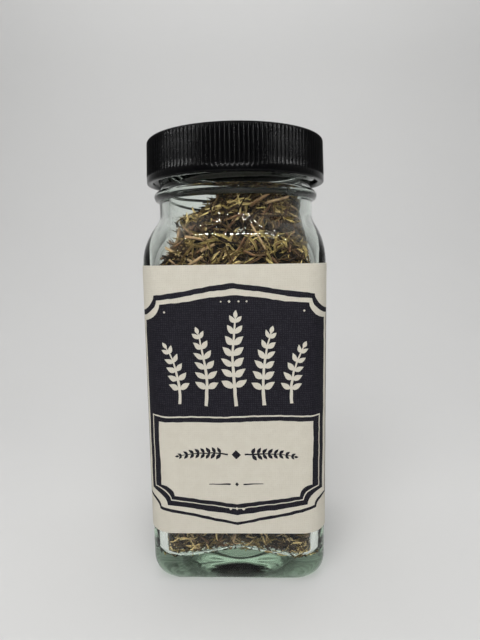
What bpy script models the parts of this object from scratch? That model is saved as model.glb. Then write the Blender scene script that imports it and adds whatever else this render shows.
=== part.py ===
"""A square glass spice jar of dried thyme, with a ribbed screw cap and a paper wrap label.

Units are metres and +Z is up. The origin is on the jar's axis, on the surface that it stands on,
and the label's front faces -Y. The cap turns on a right-hand thread about the jar's axis.
"""

import math
import random

import bmesh
import bpy
from mathutils import Matrix, Vector

# Driving dimensions
BODY_HALF = 0.0220          # half the width of the square body
BODY_CORNER = 0.0064        # outside corner radius of the body
WALL = 0.0028               # glass wall of the body
FLOOR_EDGE_Z = 0.0046       # inside floor at the walls
FLOOR_FILLET = 0.0022       # radius between the floor and the walls
FLOOR_CROWN = 0.0026        # rise of the inside floor to the middle
PUSH_UP = 0.0028            # depth of the hollow under the base
PUSH_UP_HALF = 0.0152       # half width of that hollow
BASE_INSET = 0.0026         # how far the standing ring sits inside the body
HEEL = 0.0052               # height of the rounded heel
SHOULDER_Z = 0.0796         # where the body starts to round in
NECK_Z = 0.0905             # where the shoulder meets the neck
NECK_RADIUS = 0.0203
BEAD_Z = 0.0966             # the bead below the thread
BEAD_RADIUS = 0.0216
BEAD_HALF_HEIGHT = 0.0013
FINISH_RADIUS = 0.0199      # glass between the thread's turns
MOUTH_RADIUS = 0.0178       # inside of the neck
RIM_Z = 0.1080
GAP = 0.0003                # kept between pieces that touch

PITCH = 0.00423             # rise of the thread in one turn
THREAD_CREST = 0.02115
THREAD_START_Z = 0.0997
THREAD_START_ANGLE = math.radians(230)
THREAD_TURNS = 1.5
CAP_THREAD_CREST = 0.0204
CAP_THREAD_START_Z = 0.10095
CAP_THREAD_TURNS = 0.9

CAP_TOP_Z = 0.1107
CAP_BOTTOM_Z = 0.0998
CAP_RADIUS = 0.02333        # over the ribs
RIB_DEPTH = 0.0004
RIB_COUNT = 135
CAP_BAND = 0.0015           # plain band below the ribs
CAP_BORE = 0.0216           # inside the skirt, over the cap's thread
CAP_TOP_WALL = 0.0015
LINER_RADIUS = 0.0208
LINER_THICKNESS = 0.0006

LABEL_BOTTOM_Z = 0.0134
LABEL_TOP_Z = 0.0792
LABEL_THICKNESS = 0.00025
LABEL_LAP = 0.0060          # width of the glued overlap at the back

HEAP_PEAK = Vector((0.005, 0.0, 0.0975))
HEAP_FALL_X = 28.0          # the heap falls by this times the square of the distance, in 1/m
HEAP_FALL_Y = 12.0

QUADRANT_POINTS = 14        # points of a section in each quarter, closest together at the corners


def surface(name, colour, roughness, metallic=0.0):
    material = bpy.data.materials.new(name)
    material.use_nodes = True
    shader = material.node_tree.nodes["Principled BSDF"]
    shader.inputs["Base Color"].default_value = (*colour, 1.0)
    shader.inputs["Roughness"].default_value = roughness
    shader.inputs["Metallic"].default_value = metallic
    return material


def place(name, mesh, material):
    """Adds the mesh to the scene as the named piece, with its faces turned outwards."""
    work = bmesh.new()
    work.from_mesh(mesh)
    bmesh.ops.recalc_face_normals(work, faces=work.faces)
    work.to_mesh(mesh)
    work.free()
    mesh.shade_smooth()
    mesh.set_sharp_from_angle(angle=math.radians(35))
    piece = bpy.data.objects.new(name, mesh)
    piece.data.materials.append(material)
    bpy.context.collection.objects.link(piece)
    return piece


def join_body(piece, other):
    """Unites another body with a piece, and keeps that body only as a hidden guide."""
    union = piece.modifiers.new("join_" + other.name, "BOOLEAN")
    union.operation = "UNION"
    union.solver = "EXACT"
    union.object = other
    other.hide_render = True
    other.display_type = "WIRE"


# Sections: a rounded square whose corner radius equals its half width is a circle

def section_angles():
    """Angles round a section, closer together at the square's corners."""
    angles = []
    for quarter in range(4):
        corner = math.radians(45 + 90 * quarter)
        for step in range(QUADRANT_POINTS):
            along = 2 * step / QUADRANT_POINTS - 1
            angles.append(corner + math.copysign(abs(along) ** 1.7, along) * math.radians(45))
    return angles


def section_radius(angle, half, corner):
    """Distance from the axis to a rounded square's edge, at an angle."""
    from_face = abs((angle + math.pi / 4) % (math.pi / 2) - math.pi / 4)
    flat = half - corner
    if half * math.tan(from_face) <= flat:
        return half / math.cos(from_face)
    toward = flat * (math.cos(from_face) + math.sin(from_face))
    return toward + math.sqrt(max(toward ** 2 + corner ** 2 - 2 * flat ** 2, 0.0))


def polar(radius, angle, z):
    return Vector((radius * math.cos(angle), radius * math.sin(angle), z))


def section(half, corner, z):
    return [polar(section_radius(angle, half, corner), angle, z) for angle in section_angles()]


def turned_solid(name, rings, bottom, top):
    """A closed body through equal rings of points, ended by two middle points."""
    work = bmesh.new()
    rows = [[work.verts.new(point) for point in ring] for ring in rings]
    count = len(rows[0])
    for lower, upper in zip(rows, rows[1:]):
        for k in range(count):
            n = (k + 1) % count
            work.faces.new((lower[k], lower[n], upper[n], upper[k]))
    for row, middle in ((rows[0], work.verts.new(bottom)), (rows[-1], work.verts.new(top))):
        for k in range(count):
            work.faces.new((row[k], row[(k + 1) % count], middle))
    mesh = bpy.data.meshes.new(name)
    work.to_mesh(mesh)
    work.free()
    return mesh


# The glass jar

def shoulder_shape(z):
    """Half width and corner radius of the outside, from the body up to the neck."""
    down = min(max((NECK_Z - z) / (NECK_Z - SHOULDER_Z), 0.0), 1.0)
    spread = 1 - (1 - down) ** 2
    half = NECK_RADIUS + (BODY_HALF - NECK_RADIUS) * spread
    return half, NECK_RADIUS + (BODY_CORNER - NECK_RADIUS) * spread


def inside_shape(z):
    """Half width and corner radius of the inside at a height above the floor."""
    half, corner = shoulder_shape(z + 0.4 * WALL)
    if z >= NECK_Z - 0.4 * WALL:
        return MOUTH_RADIUS, MOUTH_RADIUS
    wall = WALL + (NECK_RADIUS - MOUTH_RADIUS - WALL) * (corner - BODY_CORNER) / (NECK_RADIUS - BODY_CORNER)
    return half - wall, corner - wall + 0.0006 * (NECK_RADIUS - corner) / NECK_RADIUS


def base_rings():
    """From the hollow under the base, over the standing ring and up the heel."""
    standing_half = BODY_HALF - BASE_INSET
    rings = []
    for share in (0.45, 0.8):
        rings.append(section(PUSH_UP_HALF * share, PUSH_UP_HALF * share * 0.8, PUSH_UP * (1 - share ** 2)))
    rings.append(section(PUSH_UP_HALF, PUSH_UP_HALF * 0.7, 0.0))
    rings.append(section(standing_half, BODY_CORNER, 0.0))
    for step in range(1, 5):
        turn = math.radians(90) * step / 4
        half = standing_half + BASE_INSET * math.sin(turn)
        rings.append(section(half, BODY_CORNER, HEEL * (1 - math.cos(turn))))
    return rings


def neck_rings():
    """From the top of the body over the shoulder, the bead and the finish to the rim."""
    rings = []
    for step in range(8):
        z = SHOULDER_Z + (NECK_Z - SHOULDER_Z) * step / 7
        half, corner = shoulder_shape(z)
        rings.append(section(half, corner, z))
    rings.append(section(NECK_RADIUS, NECK_RADIUS, BEAD_Z - 2 * BEAD_HALF_HEIGHT))
    for step in range(5):
        turn = math.radians(-80 + 40 * step)
        radius = FINISH_RADIUS + (BEAD_RADIUS - FINISH_RADIUS) * math.cos(turn)
        rings.append(section(radius, radius, BEAD_Z + BEAD_HALF_HEIGHT * math.sin(turn)))
    rings.append(section(FINISH_RADIUS, FINISH_RADIUS, RIM_Z - 0.0006))
    rings.append(section(FINISH_RADIUS - 0.0005, FINISH_RADIUS - 0.0005, RIM_Z))
    rings.append(section(MOUTH_RADIUS + 0.0005, MOUTH_RADIUS + 0.0005, RIM_Z))
    return rings


def floor_z(distance):
    """Height of the inside floor at a distance from the axis."""
    inner = BODY_HALF - WALL
    return FLOOR_EDGE_Z + FLOOR_CROWN * (0.5 + 0.5 * math.cos(math.pi * min(distance / inner, 1.0)))


def cavity_profile():
    """Half width, corner radius and height of the inside, from the mouth down to the floor."""
    profile = [(MOUTH_RADIUS, MOUTH_RADIUS, BEAD_Z)]
    for step in range(8):
        z = NECK_Z - 0.0011 - (NECK_Z - SHOULDER_Z + 0.002) * step / 7
        profile.append((*inside_shape(z), z))
    half, corner = inside_shape(0.04)
    for step in range(4):
        turn = math.radians(90) * step / 3
        inset = FLOOR_FILLET * (1 - math.cos(turn))
        profile.append((half - inset, corner, FLOOR_EDGE_Z + FLOOR_FILLET * (1 - math.sin(turn))))
    for share in (0.66, 0.33):
        profile.append((half * share, half * share * 0.6, floor_z(half * share)))
    return profile


def thread(name, start_angle, start_z, turns, root_radius, crest_radius, root_half, crest_half):
    """One raised helix, whose crest sinks to its root at both ends."""
    count = round(48 * turns)
    run_out = 4
    work = bmesh.new()
    rows = []
    for step in range(count + 1):
        angle = start_angle + 2 * math.pi * turns * step / count
        z = start_z + PITCH * turns * step / count
        height = max(0.12, min(1.0, step / run_out, (count - step) / run_out))
        crest = root_radius + (crest_radius - root_radius) * height
        corners = [(root_radius, -root_half), (crest, -crest_half), (crest, crest_half), (root_radius, root_half)]
        rows.append([work.verts.new(polar(radius, angle, z + rise)) for radius, rise in corners])
    for near, far in zip(rows, rows[1:]):
        for k in range(4):
            n = (k + 1) % 4
            work.faces.new((near[k], near[n], far[n], far[k]))
    work.faces.new(rows[0])
    work.faces.new(rows[-1])
    mesh = bpy.data.meshes.new(name)
    work.to_mesh(mesh)
    work.free()
    return mesh


def make_jar(glass):
    mouth = section(MOUTH_RADIUS, MOUTH_RADIUS, RIM_Z - 0.0006)
    cavity = [section(*station) for station in cavity_profile()]
    rings = base_rings() + neck_rings() + [mouth] + cavity
    mesh = turned_solid("glass_jar", rings, Vector((0, 0, PUSH_UP)), Vector((0, 0, floor_z(0))))
    jar = place("glass_jar", mesh, glass)
    helix = thread("jar_thread", THREAD_START_ANGLE, THREAD_START_Z, THREAD_TURNS,
                   FINISH_RADIUS - 0.0006, THREAD_CREST, 0.0010, 0.0005)
    join_body(jar, place("jar_thread", helix, glass))
    return jar


# The screw cap and its liner

def ribbed_ring(radius, depth, z):
    """A ring of two points for each rib: one on its crest and one in the groove beside it."""
    step = math.pi / RIB_COUNT
    return [polar(radius - depth * (k % 2), k * step, z) for k in range(2 * RIB_COUNT)]


def cap_outside():
    """Rings from the skirt's lower edge, up the ribs, to the flat top."""
    top_edge = 0.0009
    return [
        ribbed_ring(CAP_RADIUS - 0.0003, 0, CAP_BOTTOM_Z),
        ribbed_ring(CAP_RADIUS, 0, CAP_BOTTOM_Z + 0.0003),
        ribbed_ring(CAP_RADIUS, 0, CAP_BOTTOM_Z + CAP_BAND),
        ribbed_ring(CAP_RADIUS, RIB_DEPTH, CAP_BOTTOM_Z + CAP_BAND + 0.0004),
        ribbed_ring(CAP_RADIUS, RIB_DEPTH, CAP_TOP_Z - top_edge),
        ribbed_ring(CAP_RADIUS - 0.35 * top_edge, 0, CAP_TOP_Z - 0.3 * top_edge),
        ribbed_ring(CAP_RADIUS - top_edge, 0, CAP_TOP_Z),
    ]


def make_cap(plastic):
    """A cup: its outside has two points a rib, and its inside two points for every three ribs."""
    outside = cap_outside()
    inner_count = 2 * RIB_COUNT // 3
    inner_z = (CAP_BOTTOM_Z, CAP_TOP_Z - CAP_TOP_WALL)
    work = bmesh.new()
    rows = [[work.verts.new(point) for point in ring] for ring in outside]
    inside = []
    for z in inner_z:
        turn = 2 * math.pi / inner_count
        inside.append([work.verts.new(polar(CAP_BORE, k * turn, z)) for k in range(inner_count)])
    for lower, upper in list(zip(rows, rows[1:])) + [inside]:
        count = len(lower)
        for k in range(count):
            n = (k + 1) % count
            work.faces.new((lower[k], lower[n], upper[n], upper[k]))
    for k in range(inner_count):
        n = (k + 1) % inner_count
        edge = [rows[0][(3 * k + j) % len(rows[0])] for j in range(4)]
        work.faces.new(edge + [inside[0][n], inside[0][k]])
    for row, z in ((rows[-1], CAP_TOP_Z), (inside[-1], inner_z[-1])):
        middle = work.verts.new((0, 0, z))
        for k in range(len(row)):
            work.faces.new((row[k], row[(k + 1) % len(row)], middle))
    mesh = bpy.data.meshes.new("screw_cap")
    work.to_mesh(mesh)
    work.free()
    cap = place("screw_cap", mesh, plastic)
    turns_up = (CAP_THREAD_START_Z + PITCH / 2 - THREAD_START_Z) / PITCH
    helix = thread("cap_thread", THREAD_START_ANGLE + 2 * math.pi * turns_up, CAP_THREAD_START_Z,
                   CAP_THREAD_TURNS, CAP_BORE + 0.0004, CAP_THREAD_CREST, 0.00075, 0.0003)
    join_body(cap, place("cap_thread", helix, plastic))
    return cap


def make_liner(foam):
    """The soft disc under the cap's top, which seals on the jar's rim."""
    work = bmesh.new()
    bmesh.ops.create_cone(work, cap_ends=True, segments=48, radius1=LINER_RADIUS, radius2=LINER_RADIUS,
                          depth=LINER_THICKNESS)
    middle_z = RIM_Z + GAP + LINER_THICKNESS / 2
    bmesh.ops.translate(work, verts=work.verts, vec=(0, 0, middle_z))
    mesh = bpy.data.meshes.new("cap_liner")
    work.to_mesh(mesh)
    work.free()
    return place("cap_liner", mesh, foam)


# The paper label

def make_label(paper):
    """One sheet wrapped round all four sides and glued over itself at the middle of the back."""
    inner = BODY_HALF + GAP
    work = bmesh.new()
    columns = []
    for angle in section_angles():
        inside = section_radius(angle, inner, BODY_CORNER + GAP)
        outside = section_radius(angle, inner + LABEL_THICKNESS, BODY_CORNER + GAP + LABEL_THICKNESS)
        lapped = math.sin(angle) > 0 and abs(outside * math.cos(angle)) < LABEL_LAP / 2
        if lapped:
            outside += LABEL_THICKNESS
        corners = [(inside, LABEL_BOTTOM_Z), (outside, LABEL_BOTTOM_Z), (outside, LABEL_TOP_Z), (inside, LABEL_TOP_Z)]
        columns.append([work.verts.new(polar(radius, angle, z)) for radius, z in corners])
    for near, far in zip(columns, columns[1:] + columns[:1]):
        for k in range(4):
            n = (k + 1) % 4
            work.faces.new((near[k], near[n], far[n], far[k]))
    mesh = bpy.data.meshes.new("wrap_label")
    work.to_mesh(mesh)
    work.free()
    return place("wrap_label", mesh, paper)


# The thyme

def heap_z(x, y):
    """Height of the heap's top: high in the neck, and falling away to the left."""
    return HEAP_PEAK.z - HEAP_FALL_X * (x - HEAP_PEAK.x) ** 2 - HEAP_FALL_Y * (y - HEAP_PEAK.y) ** 2


def make_fill(herb):
    """The packed herb as one body: the jar's cavity, less a gap, cut off along the heap."""
    rings = []
    for half, corner, z in cavity_profile():
        lift = GAP if z < HEEL + FLOOR_FILLET else 0.0
        rings.append(section(half - GAP, max(corner - GAP, 0.001), z + lift))
    top = HEAP_PEAK.z + 0.002
    rings.insert(0, section(MOUTH_RADIUS - GAP, MOUTH_RADIUS - GAP, top))
    mesh = turned_solid("thyme_fill", rings, Vector((0, 0, top)), Vector((0, 0, floor_z(0) + GAP)))
    fill = place("thyme_fill", mesh, herb)
    cut = fill.modifiers.new("cut_heap", "BOOLEAN")
    cut.operation = "DIFFERENCE"
    cut.solver = "EXACT"
    cut.object = heap_cutter(herb)
    return fill


def heap_cutter(herb):
    """A block whose underside is the top of the heap."""
    work = bmesh.new()
    reach = 0.024
    bmesh.ops.create_grid(work, x_segments=14, y_segments=14, size=reach)
    sheet = list(work.faces)
    raised = bmesh.ops.extrude_face_region(work, geom=sheet)["geom"]
    top_points = [item for item in raised if isinstance(item, bmesh.types.BMVert)]
    for point in work.verts:
        point.co.z = heap_z(point.co.x, point.co.y)
    for point in top_points:
        point.co.z = RIM_Z
    mesh = bpy.data.meshes.new("heap_cutter")
    work.to_mesh(mesh)
    work.free()
    cutter = place("heap_cutter", mesh, herb)
    cutter.hide_render = True
    cutter.display_type = "WIRE"
    return cutter


def sliver(name, material, middle, heading, length, thickness):
    """A slender pointed piece lying along the heap, a little above it."""
    along = Vector((math.cos(heading), math.sin(heading), 0))
    across = Vector((-along.y, along.x, 0))
    stations = ((-0.5, 0.35), (-0.25, 1.0), (0.05, 1.0), (0.3, 0.8), (0.5, 0.35))
    sides = 6
    work = bmesh.new()
    rows = []
    for share, width in stations:
        point = middle + along * (share * length)
        point.z = heap_z(point.x, point.y) + thickness / 2 + 2 * GAP
        ring = []
        for k in range(sides):
            turn = 2 * math.pi * k / sides
            offset = across * math.cos(turn) + Vector((0, 0, 1)) * math.sin(turn)
            ring.append(work.verts.new(point + offset * thickness / 2 * width))
        rows.append(ring)
    for near, far in zip(rows, rows[1:]):
        for k in range(sides):
            n = (k + 1) % sides
            work.faces.new((near[k], near[n], far[n], far[k]))
    work.faces.new(rows[0])
    work.faces.new(rows[-1])
    mesh = bpy.data.meshes.new(name)
    work.to_mesh(mesh)
    work.free()
    return place(name, mesh, material)


def make_loose(stem, leaf):
    """Loose stems on the heap, one in each cell of a ring pattern, with a leaf on each side."""
    draw = random.Random(11)
    cells = [Vector((0, 0, 0))] + [polar(0.0098, math.radians(60 * k + 20), 0) for k in range(6)]
    for number, cell in enumerate(cells, start=1):
        heading = draw.uniform(0, math.pi)
        across = Vector((-math.sin(heading), math.cos(heading), 0))
        sliver(f"stem_{number}", stem, cell, heading, draw.uniform(0.0068, 0.0082), 0.0007)
        for side, letter in ((-1, "a"), (1, "b")):
            beside = cell + across * side * draw.uniform(0.0017, 0.0022)
            leaf_heading = heading + draw.uniform(-0.15, 0.15)
            sliver(f"leaf_{number}{letter}", leaf, beside, leaf_heading, draw.uniform(0.0042, 0.0056), 0.0009)


def main():
    for piece in list(bpy.data.objects):
        bpy.data.objects.remove(piece)
    glass = surface("clear_glass", (0.72, 0.82, 0.76), 0.05)
    black_plastic = surface("black_plastic", (0.012, 0.012, 0.013), 0.35)
    foam = surface("white_foam", (0.75, 0.74, 0.70), 0.85)
    paper = surface("label_paper", (0.80, 0.77, 0.68), 0.75)
    herb = surface("dried_thyme", (0.16, 0.13, 0.06), 0.9)
    stem = surface("dried_stem", (0.30, 0.20, 0.10), 0.9)
    leaf = surface("dried_leaf", (0.26, 0.25, 0.11), 0.9)
    make_jar(glass)
    cap = make_cap(black_plastic)
    make_liner(foam)
    make_label(paper)
    make_fill(herb)
    make_loose(stem, leaf)
    axis = bpy.data.objects.new("cap_axis", None)
    bpy.context.collection.objects.link(axis)
    cap.parent = axis


main()
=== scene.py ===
"""The finish of a square glass jar of dried thyme: glass, ribbed cap, printed label and the herb.

Units are metres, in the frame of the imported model: +Z is up, and the label's front faces -Y.
"""

import math

import bmesh
import bpy
import numpy as np
from mathutils import Matrix, Vector
from mathutils import geometry
from mathutils import noise


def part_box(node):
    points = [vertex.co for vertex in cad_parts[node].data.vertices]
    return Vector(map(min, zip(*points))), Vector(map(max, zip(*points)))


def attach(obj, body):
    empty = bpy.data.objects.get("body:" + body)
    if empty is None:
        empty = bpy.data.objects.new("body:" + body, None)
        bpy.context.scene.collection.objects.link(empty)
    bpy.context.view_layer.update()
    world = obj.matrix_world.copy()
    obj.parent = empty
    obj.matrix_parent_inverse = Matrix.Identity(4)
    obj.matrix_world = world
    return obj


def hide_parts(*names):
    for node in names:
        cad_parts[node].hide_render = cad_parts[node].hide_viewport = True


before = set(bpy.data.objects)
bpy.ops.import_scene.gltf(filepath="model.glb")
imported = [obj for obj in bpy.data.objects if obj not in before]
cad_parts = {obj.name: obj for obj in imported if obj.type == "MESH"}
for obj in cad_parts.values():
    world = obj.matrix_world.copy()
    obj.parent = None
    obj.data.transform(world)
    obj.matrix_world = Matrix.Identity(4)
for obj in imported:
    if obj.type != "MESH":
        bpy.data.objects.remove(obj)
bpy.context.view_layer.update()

# The frame's own sizes
JAR_LOW, JAR_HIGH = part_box("glass_jar")
CAP_LOW, CAP_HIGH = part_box("screw_cap")
LABEL_LOW, LABEL_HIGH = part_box("wrap_label")
LINER_LOW, LINER_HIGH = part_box("cap_liner")
FILL_LOW, FILL_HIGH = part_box("thyme_fill")

# Glass: the same sections as the solid jar
BODY_HALF = JAR_HIGH.x
BODY_CORNER = 0.0064
RIM_Z = JAR_HIGH.z
WALL = 0.0028
FLOOR_FILLET = 0.0022
FLOOR_LOW = 0.0049
FLOOR_RISE = 0.0027
FLOOR_SPREAD = 0.0125
PUSH_UP = 0.0016
PUSH_UP_HALF = 0.0152
BASE_INSET = 0.0026
HEEL = 0.0052
SHOULDER_Z = 0.0796
NECK_Z = 0.0905
NECK_RADIUS = 0.0203
BEAD_Z = 0.0966
BEAD_RADIUS = 0.0216
BEAD_HALF_HEIGHT = 0.0013
FINISH_RADIUS = 0.0199
MOUTH_RADIUS = 0.0178

# Thread, right-handed
PITCH = 0.00423
THREAD_CREST = 0.02115
THREAD_START_Z = 0.0997
THREAD_START_ANGLE = math.radians(230)
THREAD_TURNS = 1.5
CAP_THREAD_CREST = 0.0204
CAP_THREAD_START_Z = 0.10095
CAP_THREAD_TURNS = 0.9

# Cap
CAP_RADIUS = CAP_HIGH.x
RIB_COUNT = 135
RIB_DEPTH = 0.00038
RIB_END = 0.0006
CAP_BAND = 0.0015
CAP_BORE = 0.0216
CAP_TOP_WALL = 0.0015

# Label paper
PAPER_GAP = 0.00005
PAPER_THICKNESS = 0.00011
LAP = 0.006
SIDE_MIDDLE = 0.0413

# Thyme
HEAP_PEAK = Vector((0.005, 0.0, FILL_HIGH.z))
HEAP_FALL_X = 28.0
HEAP_FALL_Y = 12.0


# Mesh helpers

def face_outwards(mesh):
    """Turns every face of a closed mesh to look out of its body."""
    work = bmesh.new()
    work.from_mesh(mesh)
    bmesh.ops.recalc_face_normals(work, faces=work.faces)
    work.to_mesh(mesh)
    work.free()


def mesh_piece(name, points, faces, material, body, angle=35.0):
    """A smooth-shaded mesh piece with its finish, riding on a body of the model."""
    mesh = bpy.data.meshes.new(name)
    mesh.from_pydata([tuple(p) for p in points], [], [tuple(f) for f in faces])
    mesh.validate()
    face_outwards(mesh)
    mesh.shade_smooth()
    mesh.set_sharp_from_angle(angle=math.radians(angle))
    mesh.materials.append(material)
    piece = bpy.data.objects.new(name, mesh)
    bpy.context.scene.collection.objects.link(piece)
    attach(piece, body)
    return piece


def grid_faces(rows, count, first=0):
    """Quads between successive closed rings of equal length."""
    faces = []
    for row in range(rows - 1):
        low = first + row * count
        high = low + count
        for k in range(count):
            n = (k + 1) % count
            faces.append((low + k, low + n, high + n, high + k))
    return faces


def turned_mesh(rings, bottom, top):
    """Points and faces of a closed body through equal rings, ended by two middle points."""
    count = len(rings[0])
    points = [point for ring in rings for point in ring] + [bottom, top]
    faces = grid_faces(len(rings), count)
    low, high = len(points) - 2, len(points) - 1
    last = (len(rings) - 1) * count
    for k in range(count):
        n = (k + 1) % count
        faces.append((low, n, k))
        faces.append((high, last + k, last + n))
    return points, faces


def ease(value):
    value = min(max(value, 0.0), 1.0)
    return value * value * (3 - 2 * value)


# Sections of the jar: a rounded square whose corner radius equals its half width is a circle

def section_angles(per_quarter):
    angles = []
    for quarter in range(4):
        corner = math.radians(45 + 90 * quarter)
        for step in range(per_quarter):
            along = 2 * step / per_quarter - 1
            angles.append(corner + math.copysign(abs(along) ** 1.5, along) * math.radians(45))
    return angles


def section_radius(angle, half, corner):
    from_face = abs((angle + math.pi / 4) % (math.pi / 2) - math.pi / 4)
    flat = half - corner
    if half * math.tan(from_face) <= flat:
        return half / math.cos(from_face)
    toward = flat * (math.cos(from_face) + math.sin(from_face))
    return toward + math.sqrt(max(toward ** 2 + corner ** 2 - 2 * flat ** 2, 0.0))


def shoulder_shape(z):
    down = min(max((NECK_Z - z) / (NECK_Z - SHOULDER_Z), 0.0), 1.0)
    spread = 1 - (1 - down) ** 2
    half = NECK_RADIUS + (BODY_HALF - NECK_RADIUS) * spread
    return half, NECK_RADIUS + (BODY_CORNER - NECK_RADIUS) * spread


def soft_shoulder(z, reach):
    """The shoulder's section with its bends eased over a reach of height."""
    half, corner = 0.0, 0.0
    for step, share in ((-2, 1), (-1, 2), (0, 3), (1, 2), (2, 1)):
        shape = shoulder_shape(z + reach * step / 2)
        half += shape[0] * share / 9
        corner += shape[1] * share / 9
    return half, corner


def inside_shape(z):
    """Half width and corner radius of the jar's inside."""
    if z >= NECK_Z + 0.0015:
        return MOUTH_RADIUS, MOUTH_RADIUS
    half, corner = soft_shoulder(z + 0.4 * WALL, 0.0022)
    up = (corner - BODY_CORNER) / (NECK_RADIUS - BODY_CORNER)
    wall = WALL + (NECK_RADIUS - MOUTH_RADIUS - WALL) * up
    return half - wall, corner - wall + 0.0006 * (1 - up)


def floor_z(x, y):
    """The inside floor, highest on the lines to the middles of the four faces."""
    across = 2 * x * x * y * y / max(x * x + y * y, 1e-9)
    return FLOOR_LOW + FLOOR_RISE * math.exp(-across / FLOOR_SPREAD ** 2)


def heap_z(x, y):
    return HEAP_PEAK.z - HEAP_FALL_X * (x - HEAP_PEAK.x) ** 2 - HEAP_FALL_Y * (y - HEAP_PEAK.y) ** 2


# Shader helpers

def new_material(name, colour, roughness):
    """A material with a Principled shader. Returns the material, its tree and the shader."""
    material = bpy.data.materials.new(name)
    material.use_nodes = True
    tree = material.node_tree
    shader = tree.nodes["Principled BSDF"]
    shader.inputs["Base Color"].default_value = (*colour, 1.0)
    shader.inputs["Roughness"].default_value = roughness
    return material, tree, shader


def node(tree, kind, values=None, **settings):
    made = tree.nodes.new(kind)
    for key, value in settings.items():
        setattr(made, key, value)
    for key, value in (values or {}).items():
        made.inputs[key].default_value = value
    return made


def ramp(tree, source, stops):
    made = tree.nodes.new("ShaderNodeValToRGB")
    made.color_ramp.elements[0].position = stops[0][0]
    made.color_ramp.elements[0].color = (*stops[0][1], 1)
    made.color_ramp.elements[1].position = stops[-1][0]
    made.color_ramp.elements[1].color = (*stops[-1][1], 1)
    for position, colour in stops[1:-1]:
        made.color_ramp.elements.new(position).color = (*colour, 1)
    tree.links.new(source, made.inputs["Fac"])
    return made.outputs["Color"]


def new_group(name, inputs, outputs):
    group = bpy.data.node_groups.new(name, "ShaderNodeTree")
    for label, kind, value in inputs:
        socket = group.interface.new_socket(name=label, in_out="INPUT", socket_type=kind)
        socket.default_value = value
    for label, kind in outputs:
        group.interface.new_socket(name=label, in_out="OUTPUT", socket_type=kind)
    return group, group.nodes.new("NodeGroupInput"), group.nodes.new("NodeGroupOutput")


def use_group(tree, group, values):
    made = tree.nodes.new("ShaderNodeGroup")
    made.node_tree = group
    for key, value in values.items():
        made.inputs[key].default_value = value
    return made


def mottle_group():
    """Two colours mixed by soft noise, for dyes, inks and dry leaf."""
    group, given, result = new_group(
        "mottle",
        [("Scale", "NodeSocketFloat", 200.0), ("Amount", "NodeSocketFloat", 0.5),
         ("Light", "NodeSocketColor", (1, 1, 1, 1)), ("Dark", "NodeSocketColor", (0, 0, 0, 1))],
        [("Color", "NodeSocketColor"), ("Mask", "NodeSocketFloat")])
    place = node(group, "ShaderNodeTexCoord")
    cloud = node(group, "ShaderNodeTexNoise", {"Detail": 5.0, "Roughness": 0.6})
    spread = node(group, "ShaderNodeMapRange", {"From Min": 0.35, "From Max": 0.65})
    share = node(group, "ShaderNodeMath", operation="MULTIPLY")
    mix = node(group, "ShaderNodeMix", data_type="RGBA")
    link = group.links.new
    link(place.outputs["Object"], cloud.inputs["Vector"])
    link(given.outputs["Scale"], cloud.inputs["Scale"])
    link(cloud.outputs["Fac"], spread.inputs["Value"])
    link(spread.outputs["Result"], share.inputs[0])
    link(given.outputs["Amount"], share.inputs[1])
    link(share.outputs[0], mix.inputs["Factor"])
    link(given.outputs["Light"], mix.inputs["A"])
    link(given.outputs["Dark"], mix.inputs["B"])
    link(mix.outputs["Result"], result.inputs["Color"])
    link(share.outputs[0], result.inputs["Mask"])
    return group


def grain_group():
    """Fine relief and uneven gloss of a surface."""
    group, given, result = new_group(
        "grain",
        [("Scale", "NodeSocketFloat", 2000.0), ("Depth", "NodeSocketFloat", 0.00002),
         ("Smooth", "NodeSocketFloat", 0.3), ("Rough", "NodeSocketFloat", 0.5)],
        [("Roughness", "NodeSocketFloat"), ("Normal", "NodeSocketVector")])
    place = node(group, "ShaderNodeTexCoord")
    fine = node(group, "ShaderNodeTexNoise", {"Detail": 4.0, "Roughness": 0.65})
    spread = node(group, "ShaderNodeMapRange")
    bump = node(group, "ShaderNodeBump", {"Strength": 1.0})
    link = group.links.new
    link(place.outputs["Object"], fine.inputs["Vector"])
    link(given.outputs["Scale"], fine.inputs["Scale"])
    link(fine.outputs["Fac"], spread.inputs["Value"])
    link(given.outputs["Smooth"], spread.inputs["To Min"])
    link(given.outputs["Rough"], spread.inputs["To Max"])
    link(fine.outputs["Fac"], bump.inputs["Height"])
    link(given.outputs["Depth"], bump.inputs["Distance"])
    link(spread.outputs["Result"], result.inputs["Roughness"])
    link(bump.outputs["Normal"], result.inputs["Normal"])
    return group


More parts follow.
